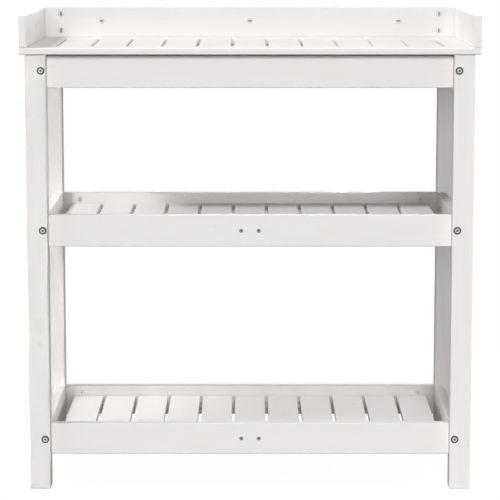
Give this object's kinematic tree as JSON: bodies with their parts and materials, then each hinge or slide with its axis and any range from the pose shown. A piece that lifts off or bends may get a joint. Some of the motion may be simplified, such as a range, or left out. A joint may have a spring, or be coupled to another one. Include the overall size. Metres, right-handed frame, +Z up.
{
  "type": "potting bench",
  "caption": "Slatted wooden potting bench, painted, on four square legs, with two railed shelves and a worktop with a low board along its back and sides.",
  "frame": {"origin": "on the floor, under the middle of the bench", "axes": "+Z up, -Y the open front where the user stands, +X to the right as seen from the front"},
  "size_m": [0.8294, 0.39, 0.865],
  "materials": {
    "painted_pine": "thin satin white paint over planed pine, with faint grain and knots",
    "zinc_plated_steel": "bright zinc plate"
  },
  "bodies": {
    "root": {"leg_front_left": "painted_pine", "leg_front_right": "painted_pine", "leg_rear_left": "painted_pine", "leg_rear_right": "painted_pine", "rail_front_bottom": "painted_pine", "rail_front_middle": "painted_pine", "rail_front_top": "painted_pine", "rail_rear_bottom": "painted_pine", "rail_rear_middle": "painted_pine", "rail_rear_top": "painted_pine", "rail_left_bottom": "painted_pine", "rail_left_middle": "painted_pine", "rail_left_top": "painted_pine", "rail_right_bottom": "painted_pine", "rail_right_middle": "painted_pine", "rail_right_top": "painted_pine", "worktop_lath_front": "painted_pine", "worktop_lath_rear": "painted_pine", "worktop_slat_01": "painted_pine", "worktop_slat_02": "painted_pine", "worktop_slat_03": "painted_pine", "worktop_slat_04": "painted_pine", "worktop_slat_05": "painted_pine", "worktop_slat_06": "painted_pine", "worktop_slat_07": "painted_pine", "worktop_slat_08": "painted_pine", "worktop_slat_09": "painted_pine", "worktop_slat_10": "painted_pine", "worktop_slat_11": "painted_pine", "worktop_slat_12": "painted_pine", "worktop_slat_13": "painted_pine", "middle_slat_01": "painted_pine", "middle_slat_02": "painted_pine", "middle_slat_03": "painted_pine", "middle_slat_04": "painted_pine", "middle_slat_05": "painted_pine", "middle_slat_06": "painted_pine", "middle_slat_07": "painted_pine", "middle_slat_08": "painted_pine", "middle_slat_09": "painted_pine", "middle_slat_10": "painted_pine", "middle_slat_11": "painted_pine", "bottom_slat_01": "painted_pine", "bottom_slat_02": "painted_pine", "bottom_slat_03": "painted_pine", "bottom_slat_04": "painted_pine", "bottom_slat_05": "painted_pine", "bottom_slat_06": "painted_pine", "bottom_slat_07": "painted_pine", "bottom_slat_08": "painted_pine", "bottom_slat_09": "painted_pine", "bottom_slat_10": "painted_pine", "bottom_slat_11": "painted_pine", "side_board_left": "painted_pine", "side_board_right": "painted_pine", "back_board": "painted_pine", "slat_battens": "painted_pine", "bolts": "zinc_plated_steel", "barrel_nuts": "zinc_plated_steel", "screws": "zinc_plated_steel"}
  },
  "joints": []
}
